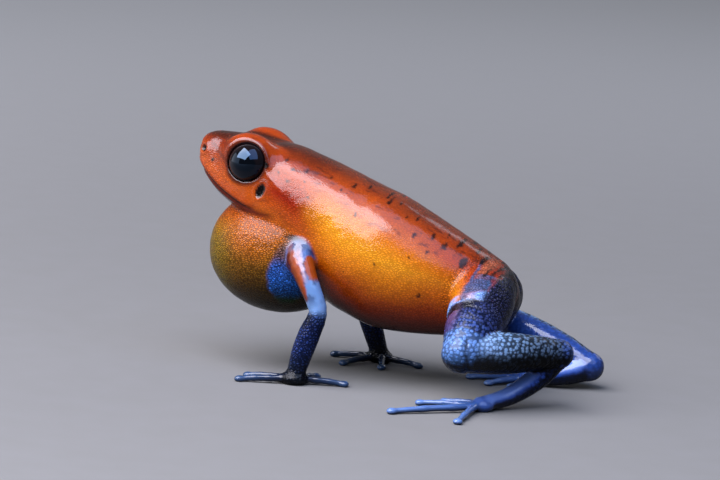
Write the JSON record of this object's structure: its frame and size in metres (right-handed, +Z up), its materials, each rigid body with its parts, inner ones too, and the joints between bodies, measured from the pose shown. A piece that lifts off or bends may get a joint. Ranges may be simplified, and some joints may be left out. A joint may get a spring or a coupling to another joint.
{
  "type": "strawberry poison dart frog, life-size still model",
  "caption": "Life-size still model of a calling strawberry poison dart frog, chest raised and throat sac full, standing on its hands and feet.",
  "frame": {"origin": "middle of the model's footprint, at the level of the floor that the hands and feet rest on", "axes": "+X towards the rump (the frog faces -X), +Y towards the frog's right side, +Z up"},
  "size_m": [0.0254, 0.0192, 0.0146],
  "materials": {
    "skin_orange": "moist red-orange skin with a soft wet sheen",
    "skin_gold": "thin stretched throat skin, golden olive, finely wrinkled",
    "skin_blue": "granular blue-black skin, moist",
    "eye_black": "wet black gloss"
  },
  "bodies": {
    "root": {"head": "skin_orange", "lower_jaw": "skin_orange", "vocal_sac": "skin_gold", "torso": "skin_orange", "eye_left": "eye_black", "eye_right": "eye_black", "eardrum_left": "eye_black", "eardrum_right": "eye_black", "upper_arm_left": "skin_blue", "upper_arm_right": "skin_blue", "forearm_left": "skin_blue", "forearm_right": "skin_blue", "hand_left": "skin_blue", "hand_right": "skin_blue", "thigh_left": "skin_blue", "thigh_right": "skin_blue", "shank_left": "skin_blue", "shank_right": "skin_blue", "tarsus_left": "skin_blue", "tarsus_right": "skin_blue", "foot_left": "skin_blue", "foot_right": "skin_blue"}
  },
  "joints": []
}
